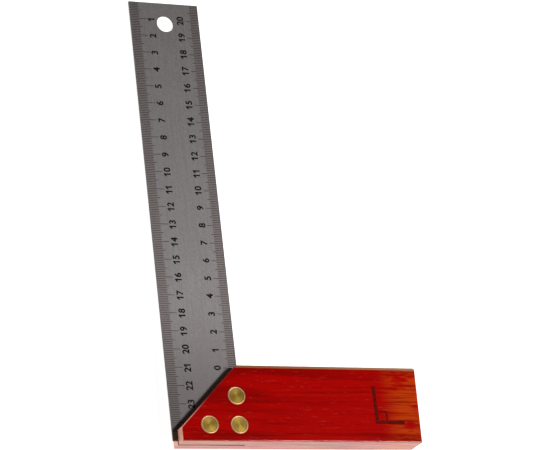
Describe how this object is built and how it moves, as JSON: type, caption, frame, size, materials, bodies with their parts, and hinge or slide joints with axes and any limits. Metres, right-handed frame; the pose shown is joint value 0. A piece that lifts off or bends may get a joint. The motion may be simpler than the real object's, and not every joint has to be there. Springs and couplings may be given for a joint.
{
  "type": "try square",
  "caption": "Carpenter's try square with a ruled steel blade riveted at a right angle into a mitred hardwood stock, for marking and checking square edges.",
  "frame": {"origin": "inside corner of the square, where the blade's inner edge meets the stock's inner edge, on the blade's mid-plane", "axes": "+X along the stock away from the blade, +Y along the blade to its tip, +Z out of the graduated face"},
  "size_m": [0.1404, 0.252, 0.0144],
  "materials": {
    "blade_steel": "fine brushed satin, grain along the blade",
    "stock_wood": "deep red hardwood under clear gloss lacquer",
    "rivet_brass": "faced in a lathe, satin with a bright rim",
    "graduation_ink": "matt dark fill of etched lines and numerals"
  },
  "bodies": {
    "root": {"blade": "blade_steel", "stock": "stock_wood", "rivet_pin_heel": "rivet_brass", "rivet_pin_outer": "rivet_brass", "rivet_pin_inner": "rivet_brass", "rivet_socket_heel": "rivet_brass", "rivet_socket_outer": "rivet_brass", "rivet_socket_inner": "rivet_brass"}
  },
  "joints": []
}
